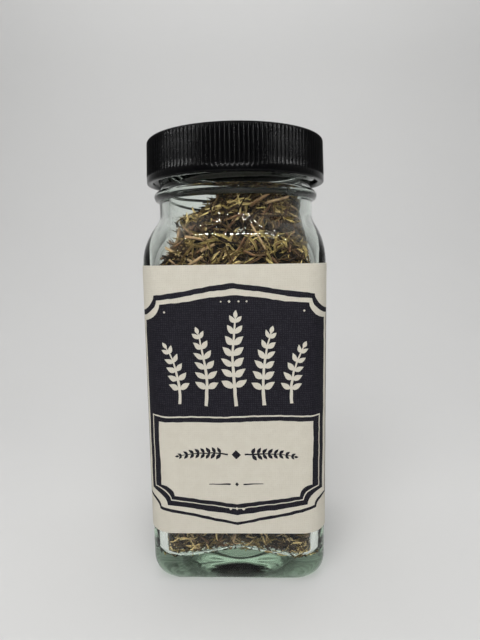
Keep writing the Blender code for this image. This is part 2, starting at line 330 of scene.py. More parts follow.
def linen_group():
    """Laid paper: crossed fine threads pressed into the sheet, with soft fibres."""
    group, given, result = new_group(
        "linen",
        [("Threads", "NodeSocketFloat", 1.0), ("Depth", "NodeSocketFloat", 0.00001)],
        [("Weave", "NodeSocketFloat"), ("Normal", "NodeSocketVector")])
    sheet = node(group, "ShaderNodeUVMap", uv_map="sheet")
    across = node(group, "ShaderNodeTexWave", {"Distortion": 4.5, "Detail": 3.0, "Detail Scale": 1.6},
                  bands_direction="X")
    along = node(group, "ShaderNodeTexWave", {"Distortion": 4.5, "Detail": 3.0, "Detail Scale": 1.6},
                 bands_direction="Y")
    both = node(group, "ShaderNodeMath", operation="ADD")
    patchy = node(group, "ShaderNodeTexNoise", {"Scale": 1.1, "Detail": 4.0, "Roughness": 0.7})
    half = node(group, "ShaderNodeMath", operation="MULTIPLY")
    bump = node(group, "ShaderNodeBump", {"Strength": 1.0})
    link = group.links.new
    for wave in (across, along):
        link(sheet.outputs["UV"], wave.inputs["Vector"])
        link(given.outputs["Threads"], wave.inputs["Scale"])
    link(across.outputs["Fac"], both.inputs[0])
    link(along.outputs["Fac"], both.inputs[1])
    link(sheet.outputs["UV"], patchy.inputs["Vector"])
    link(both.outputs[0], half.inputs[0])
    link(patchy.outputs["Fac"], half.inputs[1])
    link(half.outputs[0], bump.inputs["Height"])
    link(given.outputs["Depth"], bump.inputs["Distance"])
    link(half.outputs[0], result.inputs["Weave"])
    link(bump.outputs["Normal"], result.inputs["Normal"])
    return group


MOTTLE = mottle_group()
GRAIN = grain_group()
LINEN = linen_group()


# Glass

def clear_glass():
    """Soda glass: clear face on, green through a long path, knurled where it stands."""
    material, tree, shader = new_material("clear_glass", (0.985, 1.0, 0.99), 0.0)
    shader.inputs["Transmission Weight"].default_value = 1.0
    shader.inputs["IOR"].default_value = 1.52
    shader.inputs["Specular Tint"].default_value = (0.4, 0.4, 0.4, 1.0)
    output = tree.nodes["Material Output"]
    tint = node(tree, "ShaderNodeVolumeAbsorption", {"Color": (0.42, 0.74, 0.46, 1), "Density": 22.0})
    place = node(tree, "ShaderNodeTexCoord")
    split = node(tree, "ShaderNodeSeparateXYZ")
    low = node(tree, "ShaderNodeMapRange", {"From Min": 0.0004, "From Max": 0.0009, "To Min": 1.0, "To Max": 0.0})
    knurl = node(tree, "ShaderNodeTexVoronoi", {"Scale": 900.0})
    height = node(tree, "ShaderNodeMath", operation="MULTIPLY")
    bump = node(tree, "ShaderNodeBump", {"Strength": 1.0, "Distance": 0.00008})
    smear = node(tree, "ShaderNodeTexNoise", {"Scale": 60.0, "Detail": 4.0})
    haze = node(tree, "ShaderNodeMapRange", {"From Min": 0.5, "From Max": 0.8, "To Min": 0.0, "To Max": 0.008})
    frost = node(tree, "ShaderNodeMath", {2: 0.0}, operation="MULTIPLY_ADD")
    frost.inputs[1].default_value = 0.35
    path = node(tree, "ShaderNodeLightPath")
    clear = node(tree, "ShaderNodeBsdfTransparent", {"Color": (0.91, 0.93, 0.915, 1)})
    mix = node(tree, "ShaderNodeMixShader")
    link = tree.links.new
    link(place.outputs["Object"], split.inputs[0])
    link(split.outputs["Z"], low.inputs["Value"])
    link(place.outputs["Object"], knurl.inputs["Vector"])
    link(knurl.outputs["Distance"], height.inputs[0])
    link(low.outputs["Result"], height.inputs[1])
    link(height.outputs[0], bump.inputs["Height"])
    link(bump.outputs["Normal"], shader.inputs["Normal"])
    link(place.outputs["Object"], smear.inputs["Vector"])
    link(smear.outputs["Fac"], haze.inputs["Value"])
    link(low.outputs["Result"], frost.inputs[0])
    link(haze.outputs["Result"], frost.inputs[2])
    link(frost.outputs[0], shader.inputs["Roughness"])
    link(path.outputs["Is Shadow Ray"], mix.inputs["Fac"])
    link(shader.outputs["BSDF"], mix.inputs[1])
    link(clear.outputs["BSDF"], mix.inputs[2])
    link(mix.outputs["Shader"], output.inputs["Surface"])
    link(tint.outputs["Volume"], output.inputs["Volume"])
    return material


def thread_height(angle, z, start_angle, start_z, turns, half_width):
    """How far a helical thread stands up at a point of the wall, from 0 to 1."""
    best = 0.0
    for lap in range(-1, 3):
        share = (angle - start_angle) / (2 * math.pi) + lap
        if not 0 <= share <= turns:
            continue
        off = abs(z - start_z - PITCH * share) / half_width
        run_out = ease(share / 0.08) * ease((turns - share) / 0.08)
        best = max(best, (1 - ease((off - 0.35) / 0.65)) * run_out)
    return best


def glass_profile():
    """Half width, corner radius and height up the outside and down the inside."""
    outer = []
    for step in range(1, 13):
        share = (step / 12) ** 0.6
        z = PUSH_UP * (1 - share ** 5)
        outer.append((PUSH_UP_HALF * share, PUSH_UP_HALF * share * (1 - 0.3 * share), z))
    standing = BODY_HALF - BASE_INSET
    for share in (0.15, 0.5, 0.85):
        outer.append((PUSH_UP_HALF + (standing - PUSH_UP_HALF) * share, BODY_CORNER + 0.0042 * (1 - share), 0.0))
    for step in range(25):
        turn = math.radians(90) * step / 24
        outer.append((standing + BASE_INSET * math.sin(turn), BODY_CORNER, HEEL * (1 - math.cos(turn))))
    shoulder_low = SHOULDER_Z - 0.0014
    for step in range(1, 22):
        outer.append((BODY_HALF, BODY_CORNER, HEEL + (shoulder_low - HEEL) * step / 22))
    for step in range(31):
        z = shoulder_low + (NECK_Z - shoulder_low) * step / 30
        outer.append((*soft_shoulder(z, 0.0013), z))
    for z in (NECK_Z + 0.0006, NECK_Z + 0.0012, NECK_Z + 0.0022, BEAD_Z - 2.2 * BEAD_HALF_HEIGHT):
        outer.append((NECK_RADIUS, NECK_RADIUS, z))
    for step in range(17):
        turn = math.radians(-90 + 180 * step / 16)
        rest = NECK_RADIUS if step < 8 else FINISH_RADIUS
        radius = rest + (BEAD_RADIUS - rest) * math.cos(turn)
        outer.append((radius, radius, BEAD_Z + BEAD_HALF_HEIGHT * 1.05 * math.sin(turn)))
    finish_low = BEAD_Z + 1.25 * BEAD_HALF_HEIGHT
    finish_high = RIM_Z - 0.0007
    for step in range(56):
        outer.append((FINISH_RADIUS, FINISH_RADIUS, finish_low + (finish_high - finish_low) * step / 55))
    lip = 0.0006
    for step in range(1, 6):
        turn = math.radians(90) * step / 5
        radius = FINISH_RADIUS - lip * (1 - math.cos(turn))
        outer.append((radius, radius, RIM_Z - lip * (1 - math.sin(turn))))
    inner = []
    for step in range(6):
        turn = math.radians(90) * (1 - step / 5)
        radius = MOUTH_RADIUS + lip * (1 - math.cos(turn))
        inner.append((radius, radius, RIM_Z - lip * (1 - math.sin(turn))))
    inner_neck = NECK_Z + 0.0014
    for step in range(1, 10):
        z = RIM_Z - lip - (RIM_Z - lip - inner_neck) * step / 10
        inner.append((MOUTH_RADIUS, MOUTH_RADIUS, z))
    inner_low = SHOULDER_Z - 0.004
    for step in range(36):
        z = inner_neck - (inner_neck - inner_low) * step / 35
        inner.append((*inside_shape(z), z))
    half, corner = inside_shape(0.04)
    floor_top = FLOOR_LOW + FLOOR_FILLET
    for step in range(1, 24):
        inner.append((half, corner, inner_low - (inner_low - floor_top) * step / 24))
    for step in range(17):
        turn = math.radians(90) * step / 16
        inner.append((half - FLOOR_FILLET * (1 - math.cos(turn)), corner,
                      FLOOR_LOW + FLOOR_FILLET * (1 - math.sin(turn))))
    for step in range(1, 20):
        share = 0.88 * (1 - step / 20)
        inner.append((half * share, half * share * (0.25 + 0.5 * step / 20), FLOOR_LOW))
    return outer, inner


def make_jar():
    angles = section_angles(44)
    outer, inner = glass_profile()
    finish_low = BEAD_Z + BEAD_HALF_HEIGHT
    rings = []
    for index, (half, corner, z) in enumerate(outer + inner):
        inside = index >= len(outer)
        ring = []
        for angle in angles:
            radius = section_radius(angle, half, corner)
            if not inside and finish_low < z < RIM_Z - 0.0006:
                height = thread_height(angle, z, THREAD_START_ANGLE, THREAD_START_Z, THREAD_TURNS, 0.0011)
                radius += (THREAD_CREST - FINISH_RADIUS) * height
            wave = noise.noise(Vector((140 * math.cos(angle) * half, 140 * math.sin(angle) * half, 110 * z)))
            body = ease((z - 0.008) / 0.01) * ease((RIM_Z - 0.006 - z) / 0.01)
            radius += (0.00014 * wave if inside else 0.000012 * (wave - 0.5)) * body
            x, y = radius * math.cos(angle), radius * math.sin(angle)
            lift = (floor_z(x, y) - FLOOR_LOW) * (1 - ease((z - FLOOR_LOW) / 0.012)) if inside else 0.0
            ring.append(Vector((x, y, z + lift)))
        rings.append(ring)
    points, faces = turned_mesh(rings, Vector((0, 0, PUSH_UP)), Vector((0, 0, floor_z(0, 0))))
    jar = mesh_piece("jar_glass_body", points, faces, clear_glass(), "jar", angle=80)
    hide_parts("glass_jar")
    return jar


# Cap

def cap_plastic():
    """Black moulded plastic, satin, with a breath of dust."""
    material, tree, shader = new_material("black_plastic", (0.002, 0.002, 0.0025), 0.35)
    shader.inputs["Specular IOR Level"].default_value = 0.1
    colour = use_group(tree, MOTTLE, {"Scale": 900.0, "Amount": 0.7, "Light": (0.0012, 0.0012, 0.0015, 1),
                                      "Dark": (0.0034, 0.0034, 0.0040, 1)})
    grain = use_group(tree, GRAIN, {"Scale": 3500.0, "Depth": 0.000010, "Smooth": 0.15, "Rough": 0.25})
    tree.links.new(colour.outputs["Color"], shader.inputs["Base Color"])
    tree.links.new(grain.outputs["Roughness"], shader.inputs["Roughness"])
    tree.links.new(grain.outputs["Normal"], shader.inputs["Normal"])
    return material


def cap_rows():
    """Radius, height and rib depth (0 to 1) up the outside of the skirt to the top's edge."""
    band_top = CAP_LOW.z + CAP_BAND
    edge = 0.0009
    rows = [(CAP_RADIUS - 0.00045, CAP_LOW.z, 0.0), (CAP_RADIUS - 0.0002, CAP_LOW.z + 0.00006, 0.0),
            (CAP_RADIUS - 0.00005, CAP_LOW.z + 0.0002, 0.0), (CAP_RADIUS, CAP_LOW.z + 0.0004, 0.0),
            (CAP_RADIUS, band_top - 0.0001, 0.0)]
    for step in range(1, 9):
        rows.append((CAP_RADIUS, band_top + RIB_END * step / 8, (step / 8) ** 0.7 * 0.55 + 0.45 * ease(step / 8)))
    for step in range(1, 5):
        rows.append((CAP_RADIUS - 0.00006 * step, band_top + RIB_END + 0.0072 * step / 4, 1.0))
    for step in range(1, 8):
        turn = math.radians(90) * step / 7
        radius = CAP_RADIUS - 0.00024 - edge * (1 - math.cos(turn))
        rows.append((radius, CAP_HIGH.z - edge * (1 - math.sin(turn)), max(0.0, 1 - 1.15 * step / 7)))
    return rows


def make_cap():
    per_rib = 8
    count = RIB_COUNT * per_rib
    angles = [2 * math.pi * k / count for k in range(count)]
    rings = []
    for radius, z, ribbed in cap_rows():
        ring = []
        for k, angle in enumerate(angles):
            wave = 0.5 + 0.5 * math.cos(2 * math.pi * k / per_rib)
            groove = (1 - wave ** 0.8) * RIB_DEPTH * ribbed
            ring.append(Vector(((radius - groove) * math.cos(angle), (radius - groove) * math.sin(angle), z)))
        rings.append(ring)
    flat = CAP_HIGH.z
    for radius in (0.0214, 0.0207, 0.0205, 0.012, 0.004):
        dish = 0.00018 * ease((0.0214 - radius) / 0.0008)
        rings.append([Vector((radius * math.cos(a), radius * math.sin(a), flat - dish)) for a in angles])
    inner_top = CAP_HIGH.z - CAP_TOP_WALL
    down = [Vector((0.004 * math.cos(a), 0.004 * math.sin(a), inner_top)) for a in angles]
    under = [down, [Vector((p.x * 5.3, p.y * 5.3, inner_top)) for p in down]]
    for step in range(30):
        z = inner_top - 0.0003 - (inner_top - 0.0003 - CAP_LOW.z - 0.0004) * step / 29
        ring = []
        for angle in angles:
            height = thread_height(angle, z, cap_thread_angle() % (2 * math.pi), CAP_THREAD_START_Z,
                                   CAP_THREAD_TURNS, 0.0008)
            radius = CAP_BORE - (CAP_BORE - CAP_THREAD_CREST) * height
            ring.append(Vector((radius * math.cos(angle), radius * math.sin(angle), z)))
        under.append(ring)
    lip = CAP_BORE + 0.00035
    under.append([Vector((lip * math.cos(a), lip * math.sin(a), CAP_LOW.z)) for a in angles])
    rows = rings[::-1] + [under[-1 - k] for k in range(len(under))]
    points, faces = turned_mesh(rows, Vector((0, 0, flat - 0.00018)), Vector((0, 0, inner_top)))
    cap = mesh_piece("screw_cap_shell", points, faces, cap_plastic(), "cap", angle=50)
    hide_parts("screw_cap")
    return cap


def cap_thread_angle():
    turns_up = (CAP_THREAD_START_Z + PITCH / 2 - THREAD_START_Z) / PITCH
    return THREAD_START_ANGLE + 2 * math.pi * turns_up


def finish_liner():
    """Pulp board, dark grey as painted shade for the inside of the cap: the model's own disc keeps its shape."""
    # Dark grey in place of the liner's own pale board: painted shade for the inside of the cap.
    material, tree, shader = new_material("pulp_board_painted_shade", (0.10, 0.098, 0.092), 0.85)
    colour = use_group(tree, MOTTLE, {"Scale": 1500.0, "Amount": 0.8, "Light": (0.11, 0.108, 0.10, 1),
                                      "Dark": (0.055, 0.053, 0.048, 1)})
    grain = use_group(tree, GRAIN, {"Scale": 2600.0, "Depth": 0.00003, "Smooth": 0.75, "Rough": 0.95})
    tree.links.new(colour.outputs["Color"], shader.inputs["Base Color"])
    tree.links.new(grain.outputs["Roughness"], shader.inputs["Roughness"])
    tree.links.new(grain.outputs["Normal"], shader.inputs["Normal"])
    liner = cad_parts["cap_liner"]
    liner.data.materials.clear()
    liner.data.materials.append(material)


# Label: drawn flat as distance round the jar and height, then wrapped

def around(distance, half, corner):
    """Point and outward direction at a distance round a rounded square from the front's middle."""
    flat = 2 * (half - corner)
    quarter = flat + corner * math.pi / 2
    turns, along = divmod(distance + flat / 2, quarter)
    if along <= flat:
        point, outward = Vector((along - flat / 2, -half)), Vector((0, -1))
    else:
        turn = (along - flat) / corner
        outward = Vector((math.sin(turn), -math.cos(turn)))
        point = Vector((flat / 2, -flat / 2)) + corner * outward
    spin = Matrix.Rotation(math.radians(90) * turns, 2)
    return spin @ point, spin @ outward


def hollow(start, end, upright_first):
    """Points of a scooped corner, a quarter of an oval between two places on the sheet."""
    points = []
    for step in range(1, 7):
        turn = math.radians(90) * step / 7
        near, far = 1 - math.cos(turn), math.sin(turn)
        if not upright_first:
            near, far = far, near
        points.append((start[0] + (end[0] - start[0]) * near, start[1] + (end[1] - start[1]) * far))
    return points


def plaque(top, shoulder, ear, low_ear, low_shoulder, bottom):
    """A sign-board outline from its right half: peak, shoulder, scooped ears and a low point, in mm."""
    right = [(0.0, top), shoulder] + hollow(shoulder, ear, True) + [ear]
    right += [low_ear] + hollow(low_ear, low_shoulder, False) + [low_shoulder, (0.0, bottom)]
    points = right + [(-x, z) for x, z in reversed(right[1:-1])]
    return [(x / 1000, z / 1000) for x, z in points]


def field(half, top, low_ear, low_shoulder, bottom):
    """The lower field's outline: square top corners, scooped lower ones and a low point, in mm."""
    right = [(0.0, top), (half, top), low_ear] + hollow(low_ear, low_shoulder, False)
    right += [low_shoulder, (0.0, bottom)]
    points = right + [(-x, z) for x, z in reversed(right[1:-1])]
    return [(x / 1000, z / 1000) for x, z in points]


def leaf_outline(root, heading, length, width):
    """A small pointed oval leaf on the flat sheet."""
    along = Vector((math.cos(heading), math.sin(heading)))
    across = Vector((-along.y, along.x))
    points = []
    steps = 7
    for side in (1, -1):
        for step in range(steps):
            share = step / steps if side == 1 else 1 - step / steps
            swell = math.sin(math.pi * share ** 0.8) * width / 2
            points.append(tuple(Vector(root) + along * length * share + across * side * swell))
    return points


def sprig(start, pull, end, thick, leaf, first_leaf):
    """Outlines of one herb sprig along a bent line: a tapering stem and small paired leaves, in mm."""
    a, b, c = (Vector(p) / 1000 for p in (start, pull, end))
    thick, leaf = thick / 1000, leaf / 1000
    steps = 18
    line = [a * (1 - t) ** 2 + b * 2 * t * (1 - t) + c * t * t for t in (k / steps for k in range(steps + 1))]
    length = sum((q - p).length for p, q in zip(line, line[1:]))
    left, right, shapes = [], [], []
    for k, point in enumerate(line):
        ahead = line[min(k + 1, steps)] - line[max(k - 1, 0)]
        across = Vector((-ahead.y, ahead.x)).normalized() * thick * (1 - 0.6 * k / steps) / 2
        left.append(tuple(point + across))
        right.append(tuple(point - across))
    shapes.append(left + right[::-1])
    pairs = max(3, int(length * (1 - first_leaf) / (0.74 * leaf)))
    for pair in range(pairs):
        share = first_leaf + (1 - first_leaf) * (pair + 0.3) / pairs
        at = share * steps
        k = min(int(at), steps - 1)
        point = line[k].lerp(line[k + 1], at - k)
        ahead = line[k + 1] - line[k]
        heading = math.atan2(ahead.y, ahead.x)
        size = leaf * (1 - 0.45 * (pair / pairs) ** 2)
        for side in (-1, 1):
            spread = heading + side * math.radians(58 - 26 * pair / pairs)
            root = point + Vector((math.cos(spread), math.sin(spread))) * thick * 0.3
            shapes.append(leaf_outline(root, spread, size, size * 0.5))
    ahead = line[-1] - line[-2]
    shapes.append(leaf_outline(line[-1] - ahead * 0.3, math.atan2(ahead.y, ahead.x), leaf * 0.62, leaf * 0.34))
    return shapes


def diamond(x, z, half):
    return [(x - half, z), (x, z + half), (x + half, z), (x, z - half)]


def bar(x0, x1, z, half):
    return [(x0, z - half), (x1, z - half * 0.4), (x1, z + half * 0.4), (x0, z + half)]


def side_panel():
    """A narrow line-drawn board with one upright sprig, for the jar's sides."""
    panel = [(plaque(68.6, (9.0, 67.2), (12.6, 64.0), (12.6, 27.4), (9.0, 24.6), 22.9), True),
             (plaque(68.05, (8.7, 66.7), (12.05, 63.7), (12.05, 27.7), (8.7, 25.1), 23.5), False)]
    stem = sprig((-0.4, 31.5), (1.2, 45.0), (0.0, 57.5), 0.7, 3.4, 0.22)
    return panel + [(outline, True) for outline in stem]


def label_shapes():
    """Each printed outline with its tone: True for ink, False for bare paper. Later ones lie on top."""
    shapes = [
        (plaque(75.0, (19.0, 72.2), (24.2, 68.6), (23.9, 22.1), (19.4, 19.6), 15.6), True),
        (plaque(73.75, (18.2, 71.1), (23.5, 67.5), (23.3, 22.7), (18.9, 20.3), 16.35), False),
        (plaque(72.3, (17.4, 70.1), (22.2, 66.4), (21.9, 24.2), (17.1, 20.8), 18.2), True),
        (field(20.6, 43.35, (20.6, 25.1), (16.2, 22.0), 19.75), False),
        (field(20.3, 43.0, (20.3, 25.35), (16.0, 22.25), 19.98), True),
        (field(18.6, 41.9, (18.6, 25.9), (15.2, 23.1), 21.0), False)]
    row = sprig((0.2, 45.8), (-0.9, 57.0), (0.3, 67.0), 0.85, 3.3, 0.16)
    for side in (-1, 1):
        row += sprig((6.9 * side, 45.9), (6.0 * side, 55.0), (8.6 * side, 63.4), 0.80, 3.0, 0.18)
        row += sprig((13.3 * side, 46.3), (12.4 * side, 53.0), (16.2 * side, 60.0), 0.75, 2.7, 0.20)
    shapes += [(outline, False) for outline in row]
    for x, z, size in ((-3, 70.7, 0.25), (-1.1, 70.8, 0.36), (1.1, 70.7, 0.28), (3, 70.7, 0.25),
                       (-16.2, 68.4, 0.3), (16.2, 68.4, 0.3)):
        shapes.append((diamond(x / 1000, z / 1000, size / 1000), False))
    for x in (-1.6, 0.0, 1.6):
        shapes.append((diamond(x / 1000, 0.01985, 0.0004), False))
    shapes.append((diamond(0.0, 0.0336, 0.0011), True))
    for side in (-1, 1):
        twig = sprig((2.0 * side, 33.6), (7.5 * side, 34.5), (14.0 * side, 33.2), 0.42, 1.75, 0.12)
        shapes += [(outline, True) for outline in twig]
        shapes.append((bar(side * 0.0016, side * 0.0066, 0.0262, 0.00022), True))
    shapes.append((diamond(0.0, 0.0262, 0.00055), True))
    for middle in (-SIDE_MIDDLE, SIDE_MIDDLE):
        for outline, tone in side_panel():
            shapes.append(([(x + middle, z) for x, z in outline], tone))
    return shapes


def wobble(spot, layer):
    """A smooth two-way wander, the same on every run."""
    return Vector((noise.noise(Vector((spot.x, spot.y, layer))), noise.noise(Vector((spot.y, layer, spot.x)))))


def rough_edge(outline):
    """The outline in short steps, its edge as uneven as a cut printing block's."""
    points = []
    for start, end in zip(outline, outline[1:] + outline[:1]):
        a, b = Vector(start), Vector(end)
        steps = max(1, round((b - a).length / 0.0009))
        for step in range(steps):
            point = a.lerp(b, step / steps)
            points.append(point + wobble(point * 620, 2.0) * 0.00016 + wobble(point * 130, 7.0) * 0.00025)
    return points


def inside(outline, x, z):
    """True if a point lies in a closed outline."""
    within = False
    before = outline[-1]
    for point in outline:
        if (point[1] > z) != (before[1] > z):
            if x < before[0] + (z - before[1]) * (point[0] - before[0]) / (point[1] - before[1]):
                within = not within
        before = point
    return within


def printed_sheet(start, end, columns):
    """The flat sheet cut along its printed edges: points, triangles, and whether each one is ink."""
    shapes = [(rough_edge(outline), tone) for outline, tone in label_shapes()]
    points = []
    edges = []
    for outline, tone in shapes:
        first = len(points)
        points += outline
        edges += [(first + k, first + (k + 1) % len(outline)) for k in range(len(outline))]
    rows = 34
    low, high = LABEL_LOW.z, LABEL_HIGH.z
    for column in columns:
        first = len(points)
        points += [Vector((column, low + (high - low) * row / rows)) for row in range(rows + 1)]
        edges += [(first + row, first + row + 1) for row in range(rows)]
    for z in (low, high):
        first = len(points)
        points += [Vector((column, z)) for column in columns]
        edges += [(first + k, first + k + 1) for k in range(len(columns) - 1)]
    found = geometry.delaunay_2d_cdt(points, edges, [], 0, 1e-7)
    boxes = []
    for outline, tone in shapes:
        xs, zs = [p[0] for p in outline], [p[1] for p in outline]
        boxes.append((min(xs), max(xs), min(zs), max(zs)))
    inked = []
    for triangle in found[2]:
        x = sum(found[0][k].x for k in triangle) / 3
        z = sum(found[0][k].y for k in triangle) / 3
        tone = False
        for (outline, shape_tone), (x0, x1, z0, z1) in zip(shapes, boxes):
            if x0 < x < x1 and z0 < z < z1 and inside(outline, x, z):
                tone = shape_tone
        inked.append(tone)
    return found[0], found[2], inked


def paper_material(name, light, dark, specks, share, smooth, rough):
    """Cream laid paper, or the ink on it, thin where the threads stand up."""
    material, tree, shader = new_material(name, light, rough)
    colour = use_group(tree, MOTTLE, {"Scale": 420.0, "Amount": 0.6, "Light": (*light, 1), "Dark": (*dark, 1)})
    weave = use_group(tree, LINEN, {"Threads": 0.62, "Depth": 0.000016})
    gloss = use_group(tree, GRAIN, {"Scale": 2200.0, "Depth": 0.00001, "Smooth": smooth, "Rough": rough})
    peaks = node(tree, "ShaderNodeMapRange", {"From Min": 0.55, "From Max": 0.85, "To Max": share})
    worn = node(tree, "ShaderNodeMix", {"B": (*specks, 1)}, data_type="RGBA")
    shader.inputs["Specular IOR Level"].default_value = 0.08
    link = tree.links.new
    link(weave.outputs["Weave"], peaks.inputs["Value"])
    link(peaks.outputs["Result"], worn.inputs["Factor"])
    link(colour.outputs["Color"], worn.inputs["A"])
    link(worn.outputs["Result"], shader.inputs["Base Color"])
    link(gloss.outputs["Roughness"], shader.inputs["Roughness"])
    link(weave.outputs["Normal"], shader.inputs["Normal"])
    return material


def make_label():
    """One sheet wrapped round the jar, one end glued over the other at the back."""
    half, corner = BODY_HALF + PAPER_GAP, BODY_CORNER + PAPER_GAP
    length = 8 * (half - corner) + 2 * math.pi * corner
    start, end = -length / 2 - LAP / 2, length / 2 + LAP / 2
    flat = half - corner
    columns = [start, end]
    for side in range(-2, 3):
        middle = side * length / 4
        columns += [middle + flat * share for share in (-0.99, -0.66, -0.33, 0.0, 0.33, 0.66, 0.99)]
        columns += [middle + flat + corner * math.pi / 2 * step / 14 for step in range(15)]
    columns += [end - LAP * step / 8 for step in range(1, 12)]
    columns = sorted(c for c in set(round(c, 7) for c in columns) if start - 1e-9 <= c <= end + 1e-9)
    flat_points, triangles, inked = printed_sheet(start, end, columns)
    front, back = [], []
    for point in flat_points:
        at, outward = around(point.x, half, corner)
        over = 1.4 * PAPER_THICKNESS * ease((point.x - (end - 1.5 * LAP)) / (0.4 * LAP))
        lift = 0.00004 * (0.5 + 0.5 * noise.noise(Vector((point.x * 160, point.y * 160, 4.0))))
        for layer, depth in ((back, 0.0), (front, PAPER_THICKNESS)):
            place = at + outward * (over + lift + depth)
            layer.append(Vector((place.x, place.y, point.y)))
    count = len(front)
    faces = [tuple(t) for t in triangles] + [tuple(count + k for k in reversed(t)) for t in triangles]
    seen = {}
    for a, b, c in triangles:
        for edge in ((a, b), (b, c), (c, a)):
            seen[edge] = True
    for a, b in seen:
        if (b, a) not in seen:
            faces.append((b, a, count + a, count + b))
    ink = paper_material("navy_ink", (0.011, 0.0105, 0.0155), (0.016, 0.0152, 0.022), (0.055, 0.052, 0.063), 0.35,
                         0.55, 0.75)
    cream = paper_material("cream_paper", (0.69, 0.655, 0.565), (0.64, 0.60, 0.51), (0.58, 0.54, 0.455), 0.5,
                           0.65, 0.85)
    label = mesh_piece("paper_label", front + back, faces, cream, "jar", angle=50)
    label.data.materials.append(ink)
    ink_faces = {tuple(sorted(t)) for t, tone in zip(triangles, inked) if tone}
    for face in label.data.polygons:
        if tuple(sorted(face.vertices)) in ink_faces:
            face.material_index = 1
    sheet = label.data.uv_layers.new(name="sheet")
    for loop in label.data.loops:
        spot = flat_points[loop.vertex_index % count]
        sheet.data[loop.index].uv = (spot.x * 1000, spot.y * 1000)
    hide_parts("wrap_label")
    return label


# Thyme: curled leaves and bits of stem, laid against the glass and over the heap

def wall_arrays(z):
    """Inside half width and corner radius at each height of an array."""
    pairs = np.array([inside_shape(float(height)) for height in z])
    return pairs[:, 0], pairs[:, 1]


def wall_distance(points):
    """How far each point lies inside the glass wall, less than zero outside it."""
    angle = np.arctan2(points[:, 1], points[:, 0])
    half, corner = wall_arrays(points[:, 2])
    limit = np.array([section_radius(a, h, c) for a, h, c in zip(angle, half, corner)])
    return limit - np.hypot(points[:, 0], points[:, 1])


def unit(vectors):
    return vectors / np.maximum(np.linalg.norm(vectors, axis=1, keepdims=True), 1e-9)


# Paleness round a leaf's section: painted highlight on the rims, painted shade along the middle groove.
LEAF_SECTION = ((-1.0, -0.6), (-0.72, 0.15), (0.0, 0.42), (0.72, 0.15), (1.0, -0.6), (0.0, -0.04))
LEAF_RIM_LIGHT_AND_GROOVE_SHADE = np.array([1.0, 0.55, 0.0, 0.55, 1.0, 0.15])
STEM_RIMS = np.array([0.2, 0.9, 0.4, 0.1, 0.7, 0.3])
STEM_SECTION = tuple((math.cos(2 * math.pi * k / 6), math.sin(2 * math.pi * k / 6)) for k in range(6))


def sweep(middle, along, facing, length, width, bend, sway, cross, taper, stations, draw):
    """Bodies swept along bent lines: points (n, stations, sides, 3) of all the pieces at once."""
    across = np.cross(along, facing)
    share = np.linspace(-0.5, 0.5, stations)
    line = (middle[:, None, :] + along[:, None, :] * (length[:, None] * share)[:, :, None]
            + facing[:, None, :] * (bend * length)[:, None, None] * (share ** 2 - 0.08)[None, :, None]
            + across[:, None, :] * (sway * length)[:, None, None] * (share ** 3 - 0.12 * share)[None, :, None] * 4)
    wide = width[:, None] / 2 * taper[None, :]
    twist = draw.uniform(-0.9, 0.9, len(middle))[:, None] * share[None, :]
    cos, sin = np.cos(twist)[:, :, None], np.sin(twist)[:, :, None]
    u = across[:, None, :] * cos + facing[:, None, :] * sin
    v = facing[:, None, :] * cos - across[:, None, :] * sin
    cross = np.array(cross)
    return (line[:, :, None, :] + u[:, :, None, :] * wide[:, :, None, None] * cross[None, None, :, 0, None]
            + v[:, :, None, :] * wide[:, :, None, None] * cross[None, None, :, 1, None])


def swept_piece(name, points, tones, rims, material):
    """One mesh of many swept bodies, each with its own tone; a leaf paler on its rims as painted highlight and
    darker along its middle as painted shade, a stem in pale streaks.
    """
    count, stations, sides = points.shape[:3]
    pattern = []
    for row in range(stations - 1):
        for k in range(sides):
            n = (k + 1) % sides
            pattern.append((row * sides + k, row * sides + n, (row + 1) * sides + n, (row + 1) * sides + k))
    quads = np.array(pattern)
    step = stations * sides
    offsets = np.arange(count)[:, None, None] * step
    faces = (quads[None] + offsets).reshape(-1, 4).tolist()
    start = tuple(range(sides))[::-1]
    finish = tuple((stations - 1) * sides + k for k in range(sides))
    for index in range(count):
        faces.append(tuple(index * step + k for k in start))
        faces.append(tuple(index * step + k for k in finish))
    mesh = bpy.data.meshes.new(name)
    mesh.from_pydata(points.reshape(-1, 3), [], faces)
    face_outwards(mesh)
    mesh.shade_smooth()
    mesh.set_sharp_from_angle(angle=math.radians(62))
    tone = mesh.attributes.new("tone", "FLOAT", "POINT")
    tone.data.foreach_set("value", np.repeat(tones, step).astype(np.float32))
    rim = mesh.attributes.new("rim", "FLOAT", "POINT")
    rim.data.foreach_set("value", np.tile(rims, count * stations).astype(np.float32))
    mesh.materials.append(material)
    piece = bpy.data.objects.new(name, mesh)
    bpy.context.scene.collection.objects.link(piece)
    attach(piece, "jar")
    return piece


